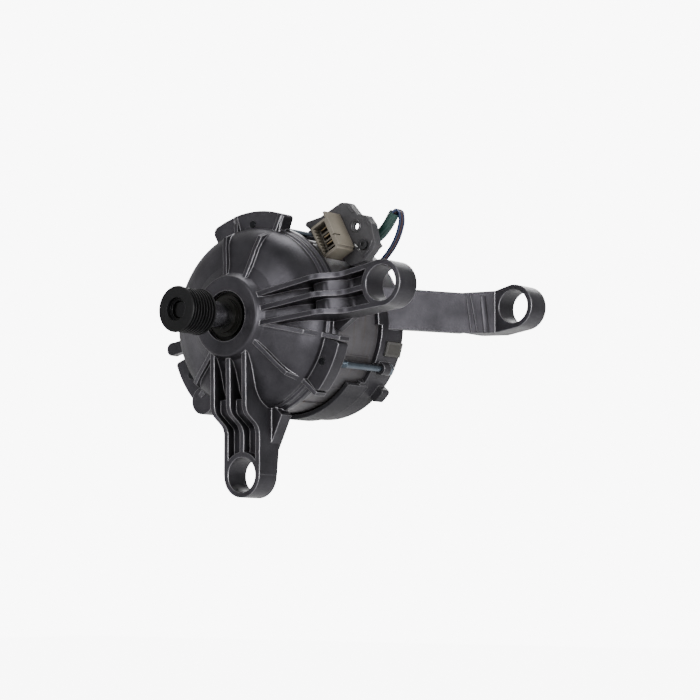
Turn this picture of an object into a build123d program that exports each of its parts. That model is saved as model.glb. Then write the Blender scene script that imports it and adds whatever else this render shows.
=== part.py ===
from build123d import *
from math import atan2, cos, degrees, hypot, radians, sin, tan
import os

# Belt drive motor of a washing machine: two cast shields clamp a laminated stator between them
# Stations are distances behind the pulley's front face and radii are from the shaft's axis
# The origin is the middle of the front pivot eye, +Y runs to the rear, +X right and +Z up

# Eyes that hang the motor in the machine
pivot_offset_x = 98.0
pivot_offset_z = 13.0
adjuster_reach = 89.5
eye_r = 13.0
eye_hole_r = 10.0
eye_length = 16.0
eye_chamfer = 1.0
eye_setback = 15.2
rear_eye_gap = 117.6

# Front shield: a bell with a bearing boss, a stepped rim, ribbed arms and tabs
boss_r = 22.7
boss_draft = 2.4
seat_wall_inset = 1.0
boss_height = 5.0
bell_r = 53.0
bell_depth = 35.0
bell_wall = 3.5
face_inner_r = 31.0
face_outer_r = 41.0
face_inner_drop = 8.0
face_outer_drop = 11.0
shoulder_r = 12.0
rim_r = 55.4
rim_step = 1.3
rim_step_drop = 26.0
rim_land_drop = 30.5
rim_blend = 1.2
register_depth = 4.0
boss_lip = 3.0
boss_hole_r = 14.4
boss_round = 1.5

# Ribs and web of both arms
rib_t = 3.0
rib_crest = 3.0
crest_fall = 0.6
bend_run = 8.5
bend_round = 8.0
pivot_web_sink = 10.0
pivot_web_root_r = 55.0
adjuster_web_sink = 5.5
adjuster_web_root_r = 47.0
pivot_arm_root_half = 8.2
pivot_arm_eye_half = 11.4
pivot_arm_bend = 63.0
adjuster_arm_half = 11.6
adjuster_arm_bend = 54.5
gusset_w = 9.0
gusset_l = 19.0
gusset_t = 9.0

# Tabs that take the through bolts
bolt_circle_r = 56.0
bolt_angles = (91.5, 211.5, 331.5)
tab_r = 63.5
tab_t = 9.0
tab_root_r = 50.0
tab_spans = ((70.0, 104.0), (200.0, 236.0), (316.5, 345.0))
tab_round = 2.0
tab_boss_r = 8.0
tab_boss_circle_r = 58.6
tab_boss_angle = 230.0
tab_boss_lead = 1.5
step_tab_r = 62.6
step_tab_start = 103.5
step_tab_sweep = 16.0
step_tab_round = 4.0
nub_r = 4.0
nub_circle_r = 68.0
nub_angle = 190.5
nub_root_half_angle = 4.0
nub_tip_half_angle = 3.2
tab_rib_runs = ((95.0, 103.4), (60.0, 72.8), (-13.0, -13.0), (-38.0, -45.0), (-119.5, -134.0))
tab_rib_t = 2.6
tab_rib_root_r = 20.0
tab_rib_turn_r = 48.5
tab_rib_turn_fall = 3.0
tab_rib_h = 2.6

# Front bearing, 15 x 35 x 11, and rear bearing, 8 x 22 x 7
front_bore_r = 7.5
front_outer_r = 17.5
front_width = 11.0
front_ball_r = 2.9
front_balls = 8
rear_bore_r = 4.0
rear_outer_r = 11.0
rear_width = 7.0
rear_ball_r = 1.9
rear_balls = 7
ball_play = 0.08
race_land_share = 0.62
cage_share = 0.22
cage_play = 0.15
seal_t = 0.7
seal_inset = 0.35
seal_play = 0.2
fit = 0.02

# Stator and its two field coils
stator_r = 51.5
stator_length = 46.0
stator_bore_r = 29.5
pole_tip_t = 3.5
slot_outer_r = 43.0
slot_half_angle = 52.0
slot_mouth_half_angle = 38.0
coil_inner_r = 34.0
coil_outer_r = 42.0
coil_head_outer_r = 46.5
coil_gap_angle = 5.0
coil_side_angle = 49.0
coil_head_front = 8.0
coil_head_rear = 5.0
coil_lift = 0.3
weld_groove_r = 1.1
weld_groove_angles = (20.0, 62.0, 128.0, 170.0, 245.0, 295.0)

# Armature and commutator
air_gap = 0.7
armature_length = 38.0
armature_setback = 4.0
armature_slots = 22
armature_slot_w = 2.4
armature_slot_depth = 11.0
slot_wire_w = 1.8
slot_wire_inset = 1.6
winding_front = 10.0
winding_rear = 6.0
winding_outer_r = 25.5
winding_inner_r = 9.5
winding_round = 3.0
commutator_r = 17.0
commutator_length = 16.0
commutator_inner_r = 13.0
commutator_gap_w = 0.7
riser_r = 19.5
riser_t = 2.5
core_seat_r = 8.5

# Shaft, pulley and slinger
pulley_length = 19.4
nose_length = 22.6
pulley_flange_r = 13.0
groove_pitch = 2.34
grooves = 8
groove_depth = 2.1
groove_crest_w = 0.45
groove_root_w = 0.5
crest_drop = 0.35
pulley_bevel = 0.5
pulley_recess_r = 6.6
pulley_recess = 2.6
pulley_bore_r = 5.0
shaft_tip_inset = 1.2
shaft_nose_r = 7.5
shaft_end_bevel = 0.6
slinger_front_gap = 2.6
slinger_length = 4.4
slinger_r = 9.6
slinger_lip_r = 11.8
slinger_lip_t = 1.2

# Rear shield: skirt, sloping back wall and bearing hub
skirt_r = 54.4
skirt_draft = 0.7
skirt_length = 25.5
skirt_round = 3.0
rear_wall = 3.5
back_inner_r = 27.0
back_slope = 4.6
hub_r = 15.0
hub_gap = 1.5
hub_inset = 1.0
hub_lip = 2.0
hub_lip_hole_r = 6.0
wave_t = 1.2
wave_play = 0.2
drip_lip_reach = 11.0
drip_lip_t = 2.6
drip_lip_gap = 1.1
drip_lip_span = (228.0, 318.0)
vent_angles = (36.0, 72.0, 108.0, 144.0, 189.0, 225.0, 261.0, 297.0)
vent_half_angle = 12.0
vent_inner_r = 21.5
vent_outer_r = 43.5
bolt_r = 2.0
bolt_lug_r = 3.7
bolt_lug_front = 8.0
bolt_lug_length = 6.5
bolt_notch_play = 1.0
bolt_head_af = 6.4
bolt_head_t = 3.2
bolt_face_r = 2.9
bolt_face_depth = 6.0
bolt_tip_proud = 0.5
window_span = (320.0, 358.0)
window_depth = 4.0
corner_lug_angle = 314.0
corner_lug_half_angle = 4.6
corner_lug_r = 59.0
corner_lug_round = 2.0
corner_lug_t = 7.0

# Rear arm: a channel with cross ribs, out and back to the rear pivot eye
rear_arm_root = (54.0, 10.0)
rear_arm_elbow = (85.0, 75.0)
rear_arm_neck_x = 76.0
rear_arm_t = 4.6
rear_arm_bury = 7.0
rear_arm_top = 20.6
rear_arm_bottom = -3.5
rear_arm_spine_t = 4.0
rear_arm_spine_foot_x = 30.0

# Brush gear
brush_angle = -16.0
brush_w = 11.0
brush_t = 6.0
brush_length = 22.5
brush_gap = 0.3
brush_play = 0.15
holder_wall_w = 1.85
holder_wall_t = 1.2
holder_inner_gap = 3.6
holder_proud = 0.6
holder_cap = 1.6
holder_seat_play = 0.1
brush_station = 13.3
spring_wire_r = 0.35
spring_turns = 7
spring_play = 0.3

# Speed sensor on the shaft's rear end
magnet_r = 8.5
magnet_length = 6.0
magnet_gap = 1.2
sensor_coil_r = 14.0
sensor_coil_inner_r = 10.0
cap_wall = 1.5
cap_overlap = 4.0
cap_length = 11.5
cap_round = 2.0

# Terminal bracket, a shallow tray that faces the front
bracket_setback = 20.0
bracket_t = 2.2
bracket_depth = 6.0
bracket_rim = 1.6
bracket_clear = 0.8
bracket_outline = (
    (12.5, 59.0), (25.5, 61.4), (40.4, 68.4), (45.8, 67.9), (52.3, 60.5), (58.7, 59.3),
    (62.5, 54.0), (65.2, 42.0), (63.0, 38.4), (57.5, 33.0), (47.0, 31.0),
)
bracket_hole = (51.6, 53.6)
bracket_hole_r = 1.9
bracket_screw = (57.2, 42.4)
bracket_slots = ((51.0, 42.8), (53.6, 40.0))
bracket_slot_l = 4.2
bracket_slot_w = 0.9
bracket_slot_turn = -40.0
post_r = 3.6
pin_post_r = 2.6
pin_post = (24.6, 55.3)
support_riser_r = 61.0
support_arm_t = 3.8
support_tip = 4.6
support_overlap = 3.0
screw_r = 1.8
screw_head_r = 3.0
screw_head_t = 1.9
screw_length = 11.0
screw_drive_w = 2.0
screw_drive_depth = 1.0

# Connector housing and its contacts
plug_x = 39.9
plug_z = 46.0
plug_turn = -62.0
plug_w = 11.8
plug_l = 20.4
plug_mouth = 15.0
plug_tail = 6.6
plug_round = 1.2
plug_play = 0.1
plug_ways = 4
way_pitch = 4.6
way_l = 3.5
way_w = 6.8
way_wall = 1.4
way_throat_w = 4.6
way_throat_l = 1.6
mouth_depth = 5.0
side_wall_t = 1.4
side_wall_over = 3.6
side_wall_short = 1.2
side_slit = 0.9
side_slit_depth = 6.0
contact_w = 4.5
contact_t = 0.8
contact_inset = 4.0
contact_proud = 1.0

# Loom: three leads gather in a green sleeve, then run bare down to the port in the rear shield
sleeve_r = 3.2
sleeve_bore_r = 2.85
lead_r = 0.8
lead_pitch = 1.85
sleeve_line_points = ((47.5, 112.4, 46.0), (56.0, 112.6, 48.6), (62.8, 112.2, 54.4), (68.4, 111.6, 61.6))
sleeve_start_share = 0.48
loop_line_points = (
    (70.2, 112.0, 63.4), (71.6, 113.4, 62.2), (70.8, 115.6, 57.0), (66.4, 118.2, 49.2),
    (60.0, 120.6, 42.4), (52.0, 123.0, 36.8), (41.0, 125.2, 28.2),
)
route_round_share = 0.45
port_angle = 34.4
port_w = 9.0
port_l = 11.0

cut_over = 1.0

# Places worked out from the sizes above
pulley_rear = pulley_length
boss_face = pulley_rear + nose_length
rim_back = boss_face + bell_depth
eye_front = boss_face + eye_setback
eye_back = eye_front + eye_length
origin_station = eye_front + eye_length / 2
stator_front = rim_back - register_depth
stator_rear = stator_front + stator_length
skirt_front = stator_rear - register_depth
skirt_back = skirt_front + skirt_length
back_face = skirt_back + skirt_round
rear_eye_front = eye_back + rear_eye_gap
rear_eye_back = rear_eye_front + eye_length
front_bearing_front = boss_face + boss_lip
front_bearing_back = front_bearing_front + front_width
wall_rear = back_face + back_slope
hub_front = skirt_back + hub_gap
rear_bearing_front = hub_front + hub_inset
rear_bearing_back = rear_bearing_front + rear_width
hub_seat_back = rear_bearing_back + wave_t + wave_play
hub_back = hub_seat_back + hub_lip
armature_front = stator_front + armature_setback
armature_rear = armature_front + armature_length
armature_r = stator_bore_r - air_gap
brush_middle = skirt_front + armature_setback + brush_station
commutator_front = brush_middle - commutator_length / 2
commutator_back = brush_middle + commutator_length / 2
holder_w = brush_w + 2 * (brush_play + holder_wall_w)
holder_t = brush_t + 2 * (brush_play + holder_wall_t)
holder_inner_r = commutator_r + holder_inner_gap
holder_outer_r = skirt_r + holder_proud
brush_inner_r = commutator_r + brush_gap
brush_outer_r = brush_inner_r + brush_length
cap_inner_r = holder_outer_r - holder_cap
brush_angles = (brush_angle, brush_angle + 180.0)
pole_angles = (brush_angle + 90.0, brush_angle + 270.0)
bracket_front = rim_back + bracket_setback
bracket_back = bracket_front + bracket_t
support_front = bracket_front + bracket_depth + bracket_clear
plug_front = bracket_front - plug_mouth
plug_back = bracket_front + plug_tail
lug_front = skirt_front + bolt_lug_front
lug_back = lug_front + bolt_lug_length
tab_front = rim_back - tab_t
shaft_tip = pulley_recess + shaft_tip_inset
magnet_front = hub_back + magnet_gap
shaft_end = magnet_front + magnet_length + magnet_gap
slinger_front = boss_face - slinger_front_gap
pivot_reach = hypot(pivot_offset_x, pivot_offset_z)
pivot_heading = degrees(atan2(pivot_offset_z, pivot_offset_x))
adjuster_heading = -90.0
full_turn = 360.0

os.makedirs("parts", exist_ok=True)
shaft_axis = Axis((-pivot_offset_x, 0, -pivot_offset_z), (0, 1, 0))


def across(station, heading=0.0):
    """Plane square to the shaft at a station, facing the front, its x along the heading."""
    way = (cos(radians(heading)), 0, sin(radians(heading)))
    middle = (-pivot_offset_x, station - origin_station, -pivot_offset_z)
    return Plane(origin=middle, x_dir=way, z_dir=(0, -1, 0))


def beside(heading=0.0):
    """Plane through the shaft's axis: x is the distance from the axis, y the station."""
    way = (cos(radians(heading)), 0, sin(radians(heading)))
    return Plane(
        origin=(-pivot_offset_x, -origin_station, -pivot_offset_z),
        x_dir=way,
        z_dir=(-sin(radians(heading)), 0, cos(radians(heading))),
    )


def polar(radius, angle):
    """Point on a circle about the shaft, in a plane made by across."""
    return (radius * cos(radians(angle)), radius * sin(radians(angle)))


def sector(inner, outer, start, end):
    """Face between two radii and two angles, on the sketch plane in use."""
    middle = (start + end) / 2
    with BuildLine(Plane.XY) as edge:
        ThreePointArc(polar(outer, start), polar(outer, middle), polar(outer, end))
        Line(polar(outer, end), polar(inner, end))
        ThreePointArc(polar(inner, end), polar(inner, middle), polar(inner, start))
        Line(polar(inner, start), polar(outer, start))
    make_face(edge.edges())


def profile(points):
    """Closed face with straight sides, on the sketch plane in use."""
    Polygon(*points, align=None)


def outward(radius, heading, station):
    """Plane facing away from the shaft: x runs to the rear and y around the shaft."""
    way = (cos(radians(heading)), 0, sin(radians(heading)))
    return Plane(
        origin=(radius * way[0] - pivot_offset_x, station - origin_station, radius * way[2] - pivot_offset_z),
        x_dir=(0, 1, 0),
        z_dir=way,
    )


def turned(points):
    """Solid of revolution about the shaft from radius and station pairs."""
    with BuildPart() as piece:
        with BuildSketch(beside()):
            profile(points)
        revolve(axis=shaft_axis)
    return piece.part


def save(part, name):
    """Label a finished piece and write its file."""
    part.label = name
    export_step(part, f"parts/{name}.step")


# Both arms are three ribs over a curved web; the crest steps back to the eye's front face
def ribbed_arm(heading, reach, root_half, eye_half, bend, web_root_r, web_sink):
    crest = boss_face + rib_crest
    with BuildPart() as ribs:
        with BuildSketch(across(rim_back, heading)):
            for side in (-1, 0, 1):
                near = side * root_half
                far = side * eye_half
                profile((
                    (boss_r - rib_t, near - rib_t / 2),
                    (reach, far - rib_t / 2),
                    (reach, far + rib_t / 2),
                    (boss_r - rib_t, near + rib_t / 2),
                ))
        extrude(amount=rim_back - boss_face)
        with BuildSketch(beside(heading)):
            with BuildLine():
                front = FilletPolyline(
                    (boss_r - rib_t, crest - crest_fall),
                    (bend, crest),
                    (bend + bend_run, eye_front),
                    (reach, eye_front),
                    radius=bend_round,
                )
                rear = ((reach, eye_back), (rim_r, rim_back), (boss_r - rib_t, rim_back))
                Polyline(front @ 1, *rear, front @ 0)
            make_face()
        extrude(amount=reach, both=True, mode=Mode.INTERSECT)
    with BuildPart() as web:
        with BuildSketch(across(rim_back, heading)):
            profile((
                (web_root_r, -root_half),
                (reach, -eye_half),
                (reach, eye_half),
                (web_root_r, root_half),
            ))
        extrude(amount=rim_back - boss_face)
        with BuildSketch(beside(heading)):
            with BuildLine():
                upper = FilletPolyline(
                    (web_root_r, crest + web_sink),
                    (bend, crest + web_sink),
                    (bend + bend_run, eye_front + web_sink),
                    (reach, eye_front + web_sink),
                    radius=bend_round / 2,
                )
                Polyline(upper @ 1, (reach, eye_back), (rim_r, rim_back), (web_root_r, rim_back), upper @ 0)
            make_face()
        extrude(amount=reach, both=True, mode=Mode.INTERSECT)
    return ribs.part, web.part


# Front shield
pivot_ribs, pivot_web = ribbed_arm(
    pivot_heading, pivot_reach, pivot_arm_root_half, pivot_arm_eye_half,
    pivot_arm_bend, pivot_web_root_r, pivot_web_sink,
)
adjuster_ribs, adjuster_web = ribbed_arm(
    adjuster_heading, adjuster_reach, adjuster_arm_half, adjuster_arm_half,
    adjuster_arm_bend, adjuster_web_root_r, adjuster_web_sink,
)

crest_envelope = turned((
    (0, boss_face + boss_height - tab_rib_h),
    (boss_r, boss_face + boss_height - tab_rib_h),
    (face_inner_r, boss_face + face_inner_drop - tab_rib_h),
    (face_outer_r, boss_face + face_outer_drop - tab_rib_h),
    (tab_rib_turn_r, boss_face + face_outer_drop + tab_rib_turn_fall - tab_rib_h),
    (bell_r, rim_back - tab_t - tab_rib_turn_fall),
    (tab_r, rim_back - tab_t),
    (tab_r, rim_back),
    (0, rim_back),
))

with BuildPart() as tab_ribs:
    with BuildSketch(across(rim_back)):
        for start, end in tab_rib_runs:
            root = polar(tab_rib_root_r, start)
            tip = polar(tab_r, end)
            lean = atan2(tip[1] - root[1], tip[0] - root[0])
            shift = (-sin(lean) * tab_rib_t / 2, cos(lean) * tab_rib_t / 2)
            profile((
                (root[0] - shift[0], root[1] - shift[1]),
                (tip[0] - shift[0], tip[1] - shift[1]),
                (tip[0] + shift[0], tip[1] + shift[1]),
                (root[0] + shift[0], root[1] + shift[1]),
            ))
    extrude(amount=rim_back - boss_face)
    add(crest_envelope, mode=Mode.INTERSECT)

with BuildPart() as front_shield:
    with BuildSketch(beside()):
        with BuildLine():
            nose = FilletPolyline(
                (0, boss_face),
                (boss_r, boss_face),
                (boss_r + boss_draft, boss_face + boss_height),
                (face_inner_r, boss_face + face_inner_drop),
                (face_outer_r, boss_face + face_outer_drop),
                radius=boss_round,
            )
            shoulder_end = (bell_r, boss_face + face_outer_drop + shoulder_r)
            shoulder = TangentArc(nose @ 1, shoulder_end, tangent=nose % 1)
            Polyline(
                shoulder @ 1,
                (bell_r, boss_face + rim_step_drop),
                (bell_r + rim_step, boss_face + rim_step_drop + rim_blend),
                (bell_r + rim_step, boss_face + rim_land_drop),
                (rim_r, boss_face + rim_land_drop + rim_blend),
                (rim_r, rim_back),
                (0, rim_back),
                (0, boss_face),
            )
        make_face()
    revolve(axis=shaft_axis)
    add(tab_ribs.part)
    add(pivot_ribs)
    add(pivot_web)
    add(adjuster_ribs)
    add(adjuster_web)
    for start, end in tab_spans:
        with BuildSketch(across(rim_back)) as tab_face:
            sector(tab_root_r, tab_r, start, end)
            outer_corners = tab_face.vertices().group_by(lambda v: hypot(v.X, v.Y))[-1]
            fillet(outer_corners, radius=tab_round)
        extrude(amount=tab_t)
    with BuildSketch(across(rim_back)):
        with Locations(polar(tab_boss_circle_r, tab_boss_angle)):
            Circle(tab_boss_r)
    extrude(amount=tab_t + tab_boss_lead)
    with BuildSketch(across(rim_back)) as step_face:
        sector(tab_root_r, step_tab_r, step_tab_start, step_tab_start + step_tab_sweep)
        fillet(step_face.vertices().sort_by(lambda v: v.X)[:1], radius=step_tab_round)
    extrude(amount=tab_t + tab_boss_lead)
    with BuildSketch(across(rim_back)):
        with Locations(polar(nub_circle_r, nub_angle)):
            Circle(nub_r)
        profile((
            polar(tab_root_r, nub_angle + nub_root_half_angle),
            polar(tab_root_r, nub_angle - nub_root_half_angle),
            polar(nub_circle_r, nub_angle - nub_tip_half_angle),
            polar(nub_circle_r, nub_angle + nub_tip_half_angle),
        ))
    extrude(amount=tab_t / 2)
    for heading, reach in ((pivot_heading, pivot_reach), (adjuster_heading, adjuster_reach)):
        with BuildSketch(across(eye_back, heading)):
            with Locations((reach, 0)):
                Circle(eye_r)
        extrude(amount=eye_length)
    with BuildSketch(across(rim_back, adjuster_heading)):
        for side in (-1, 1):
            inner = side * adjuster_arm_half
            outer = side * (adjuster_arm_half + gusset_w)
            profile(((adjuster_web_root_r, inner), (rim_r, outer), (rim_r + gusset_l, inner)))
    extrude(amount=gusset_t)
    with BuildSketch(across(rim_back, pivot_heading)):
        for side in (-1, 1):
            inner = side * pivot_arm_root_half
            outer = side * (pivot_arm_root_half + gusset_w)
            profile(((adjuster_web_root_r, inner), (rim_r, outer), (rim_r + gusset_l, inner)))
    extrude(amount=gusset_t / 2)
    with BuildSketch(beside()):
        with BuildLine():
            Polyline(
                (0, boss_face - cut_over),
                (boss_hole_r, boss_face - cut_over),
                (boss_hole_r, front_bearing_front),
                (front_outer_r + fit, front_bearing_front),
                (front_outer_r + fit, front_bearing_back),
                (boss_r - seat_wall_inset, front_bearing_back),
                (boss_r + seat_wall_inset, boss_face + face_inner_drop + bell_wall),
                (face_outer_r - seat_wall_inset, boss_face + face_outer_drop + bell_wall),
            )
            inner_shoulder = TangentArc(
                (face_outer_r - seat_wall_inset, boss_face + face_outer_drop + bell_wall),
                (bell_r - bell_wall, boss_face + face_outer_drop + shoulder_r),
                tangent=(1, (face_outer_drop - face_inner_drop) / (face_outer_r - face_inner_r)),
            )
            Polyline(
                inner_shoulder @ 1,
                (bell_r - bell_wall, stator_front),
                (stator_r + fit, stator_front),
                (stator_r + fit, rim_back + cut_over),
                (0, rim_back + cut_over),
                (0, boss_face - cut_over),
            )
        make_face()
    revolve(axis=shaft_axis, mode=Mode.SUBTRACT)
    for heading, reach in ((pivot_heading, pivot_reach), (adjuster_heading, adjuster_reach)):
        with BuildSketch(across(rim_back, heading)):
            with Locations((reach, 0)):
                Circle(eye_r)
        extrude(amount=rim_back - eye_back, mode=Mode.SUBTRACT)
        with BuildSketch(across(rim_back, heading)):
            with Locations((reach, 0)):
                Circle(eye_hole_r)
        extrude(amount=rim_back - boss_face, mode=Mode.SUBTRACT)
    with BuildSketch(across(rim_back)):
        for angle in bolt_angles:
            with Locations(polar(bolt_circle_r, angle)):
                Circle(bolt_r + fit)
    extrude(amount=bell_depth, mode=Mode.SUBTRACT)
    with BuildSketch(across(tab_front)):
        for angle in bolt_angles:
            with Locations(polar(bolt_circle_r, angle)):
                Circle(bolt_face_r)
    extrude(amount=bolt_face_depth, mode=Mode.SUBTRACT)
save(front_shield.part, "front_shield")

# Rear shield
arm_lean = atan2(rear_arm_elbow[1] - rear_arm_root[1], rear_arm_elbow[0] - rear_arm_root[0])
arm_back = (-sin(arm_lean) * rear_arm_t, cos(arm_lean) * rear_arm_t)
arm_bury = (-cos(arm_lean) * rear_arm_bury, -sin(arm_lean) * rear_arm_bury)
arm_root = (rear_arm_root[0], skirt_front + rear_arm_root[1])
arm_elbow = (rear_arm_elbow[0], skirt_front + rear_arm_elbow[1])
arm_neck = (rear_arm_neck_x, arm_root[1] + (rear_arm_neck_x - rear_arm_root[0]) * tan(arm_lean))

with BuildPart() as arm_end:
    with BuildSketch(across(rear_eye_back)):
        with Locations((rear_arm_neck_x, (rear_arm_top + rear_arm_bottom) / 2)):
            Rectangle(eye_chamfer, rear_arm_top - rear_arm_bottom)
        with Locations((pivot_offset_x, pivot_offset_z)):
            Circle(eye_r)
        make_hull()
    extrude(amount=rear_eye_back - arm_root[1])
    with BuildSketch(beside().offset(-eye_r)):
        profile((
            (
                rear_arm_neck_x - eye_chamfer,
                arm_root[1] + (rear_arm_neck_x - rear_arm_root[0] - eye_chamfer) * tan(arm_lean),
            ),
            arm_elbow,
            (arm_elbow[0], rear_eye_front),
            (pivot_offset_x + eye_r, rear_eye_front),
            (pivot_offset_x + eye_r, rear_eye_back),
            (arm_elbow[0] - eye_chamfer, rear_eye_back),
            (rear_arm_neck_x - eye_chamfer, arm_elbow[1] - eye_chamfer),
        ))
    extrude(amount=4 * eye_r, mode=Mode.INTERSECT)

with BuildPart() as rear_shield:
    with BuildSketch(beside()):
        profile((
            (0, skirt_front),
            (skirt_r, skirt_front),
            (skirt_r - skirt_draft, skirt_back),
            (skirt_r - skirt_draft - skirt_round, back_face),
            (back_inner_r, wall_rear),
            (hub_r, wall_rear),
            (hub_r, hub_back),
            (0, hub_back),
        ))
    revolve(axis=shaft_axis)
    with BuildSketch(beside().offset(rear_arm_bottom)):
        profile((
            (arm_root[0] + arm_bury[0], arm_root[1] + arm_bury[1]),
            arm_neck,
            (arm_neck[0] + arm_back[0], arm_neck[1] + arm_back[1]),
            (arm_root[0] + arm_bury[0] + arm_back[0], arm_root[1] + arm_bury[1] + arm_back[1]),
        ))
    extrude(amount=rear_arm_top - rear_arm_bottom)
    with BuildSketch(beside().offset((rear_arm_top + rear_arm_bottom - rear_arm_spine_t) / 2)):
        profile((
            (rear_arm_spine_foot_x, wall_rear - rear_wall),
            arm_root,
            arm_elbow,
            (arm_elbow[0] - eye_chamfer, rear_eye_back),
            (rear_arm_spine_foot_x, wall_rear + eye_chamfer),
        ))
    extrude(amount=rear_arm_spine_t)
    add(arm_end.part)
    for angle in bolt_angles:
        with BuildSketch(across(lug_back)):
            with Locations(polar(bolt_circle_r, angle)):
                Circle(bolt_lug_r)
            with Locations(polar(bolt_circle_r - bolt_lug_r, angle)):
                Rectangle(bolt_lug_r * 2, bolt_lug_r * 2, rotation=angle)
        extrude(amount=bolt_lug_length)
    with BuildSketch(across(skirt_back)) as lug_face:
        sector(
            skirt_r - rear_wall,
            corner_lug_r,
            corner_lug_angle - corner_lug_half_angle,
            corner_lug_angle + corner_lug_half_angle,
        )
        outer_corners = lug_face.vertices().group_by(lambda v: hypot(v.X, v.Y))[-1]
        fillet(outer_corners, radius=corner_lug_round)
    extrude(amount=corner_lug_t)
    with BuildSketch(across(skirt_front + bolt_lug_front)):
        lip_inner_r = stator_r + drip_lip_gap
        sector(lip_inner_r, lip_inner_r + drip_lip_t, drip_lip_span[0], drip_lip_span[1])
    extrude(amount=drip_lip_reach + bolt_lug_front)
    for centre, reach in ((bracket_screw, post_r), (pin_post, pin_post_r)):
        lean = degrees(atan2(centre[1], centre[0]))
        tip = hypot(centre[0], centre[1]) + support_tip
        with BuildSketch(across(skirt_front + support_overlap, lean)):
            with Locations(((stator_r + drip_lip_gap + support_riser_r) / 2, 0)):
                Rectangle(support_riser_r - stator_r - drip_lip_gap, 2 * reach)
        extrude(amount=skirt_front + support_overlap - support_front)
        with BuildSketch(across(support_front + support_arm_t, lean)):
            with Locations(((stator_r + drip_lip_gap + tip) / 2, 0)):
                Rectangle(tip - stator_r - drip_lip_gap, 2 * reach)
        extrude(amount=support_arm_t)
        with BuildSketch(across(support_front)):
            with Locations(centre):
                Circle(reach)
        extrude(amount=support_front - bracket_back)
    with BuildSketch(beside()):
        profile((
            (0, skirt_front - cut_over),
            (stator_r + fit, skirt_front - cut_over),
            (stator_r + fit, stator_rear),
            (skirt_r - rear_wall, stator_rear),
            (skirt_r - skirt_draft - rear_wall, skirt_back - skirt_round),
            (skirt_r - skirt_draft - rear_wall - skirt_round, skirt_back),
            (back_inner_r, wall_rear - rear_wall),
            (hub_r, wall_rear - rear_wall),
            (hub_r, hub_front),
            (rear_outer_r + fit, hub_front),
            (rear_outer_r + fit, hub_seat_back),
            (hub_lip_hole_r, hub_seat_back),
            (hub_lip_hole_r, hub_back + cut_over),
            (0, hub_back + cut_over),
        ))
    revolve(axis=shaft_axis, mode=Mode.SUBTRACT)
    with BuildSketch(across(rear_eye_back)):
        with Locations((pivot_offset_x, pivot_offset_z)):
            Circle(eye_hole_r)
    extrude(amount=rear_eye_back - arm_root[1], mode=Mode.SUBTRACT)
    with BuildSketch(across(wall_rear)):
        for angle in vent_angles:
            sector(vent_inner_r, vent_outer_r, angle - vent_half_angle, angle + vent_half_angle)
    extrude(amount=wall_rear - skirt_back + skirt_round, mode=Mode.SUBTRACT)
    with BuildSketch(across(lug_back)):
        for angle in bolt_angles:
            with Locations(polar(bolt_circle_r, angle)):
                Circle(bolt_r + fit)
    extrude(amount=bolt_lug_length, mode=Mode.SUBTRACT)
    with BuildSketch(across(lug_front)):
        for angle in bolt_angles:
            with Locations(polar(bolt_circle_r, angle)):
                Circle(bolt_r + bolt_notch_play)
    extrude(amount=bolt_lug_front + cut_over, mode=Mode.SUBTRACT)
    with BuildSketch(across(lug_back + bolt_head_t + bolt_notch_play)):
        for angle in bolt_angles:
            with Locations(polar(bolt_circle_r, angle)):
                Circle(bolt_head_af / 2 + bolt_notch_play)
    extrude(amount=bolt_head_t + bolt_notch_play, mode=Mode.SUBTRACT)
    with BuildSketch(across(skirt_front + window_depth)):
        sector(stator_r, corner_lug_r, window_span[0], window_span[1])
    extrude(amount=window_depth + cut_over, mode=Mode.SUBTRACT)
    for angle in brush_angles:
        with BuildSketch(outward(back_inner_r, angle, brush_middle)):
            Rectangle(holder_w + 2 * holder_seat_play, holder_t + 2 * holder_seat_play)
        extrude(amount=back_inner_r * 2, mode=Mode.SUBTRACT)
    port_middle = skirt_front + support_overlap + cut_over + port_w / 2
    with BuildSketch(outward(back_inner_r, port_angle, port_middle)):
        Rectangle(port_w, port_l)
    extrude(amount=back_inner_r * 2, mode=Mode.SUBTRACT)
    with BuildSketch(across(bracket_back)):
        with Locations(bracket_screw):
            Circle(screw_r + fit)
    extrude(amount=-screw_length, mode=Mode.SUBTRACT)
save(rear_shield.part, "rear_shield")

# Stator stack with two poles
with BuildPart() as stator_core:
    with BuildSketch(across(stator_rear)):
        Circle(stator_r)
        Circle(stator_bore_r, mode=Mode.SUBTRACT)
    extrude(amount=stator_length)
    with BuildSketch(across(stator_rear)):
        for angle in brush_angles:
            sector(
                stator_bore_r - cut_over,
                stator_bore_r + pole_tip_t,
                angle - slot_mouth_half_angle,
                angle + slot_mouth_half_angle,
            )
            sector(stator_bore_r + pole_tip_t, slot_outer_r, angle - slot_half_angle, angle + slot_half_angle)
        for angle in weld_groove_angles:
            with Locations(polar(stator_r, angle)):
                Circle(weld_groove_r)
    extrude(amount=stator_length, mode=Mode.SUBTRACT)
save(stator_core.part, "stator_core")

# Field coils: two sides in the slots and a head across the pole at each end
for name, angle in zip(("field_coil_top", "field_coil_bottom"), pole_angles):
    side_near = 90.0 - coil_side_angle
    side_far = 90.0 - coil_gap_angle / 2
    with BuildPart() as field_coil:
        with BuildSketch(across(stator_rear + coil_lift)):
            sector(coil_inner_r, coil_outer_r, angle + side_near, angle + side_far)
            sector(coil_inner_r, coil_outer_r, angle - side_far, angle - side_near)
        extrude(amount=stator_length + 2 * coil_lift)
        with BuildSketch(across(stator_rear + coil_lift + coil_head_rear)):
            sector(coil_inner_r, coil_head_outer_r, angle - side_far, angle + side_far)
        extrude(amount=coil_head_rear)
        with BuildSketch(across(stator_front - coil_lift)):
            sector(coil_inner_r, coil_head_outer_r, angle - side_far, angle + side_far)
        extrude(amount=coil_head_front)
    save(field_coil.part, name)

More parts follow.
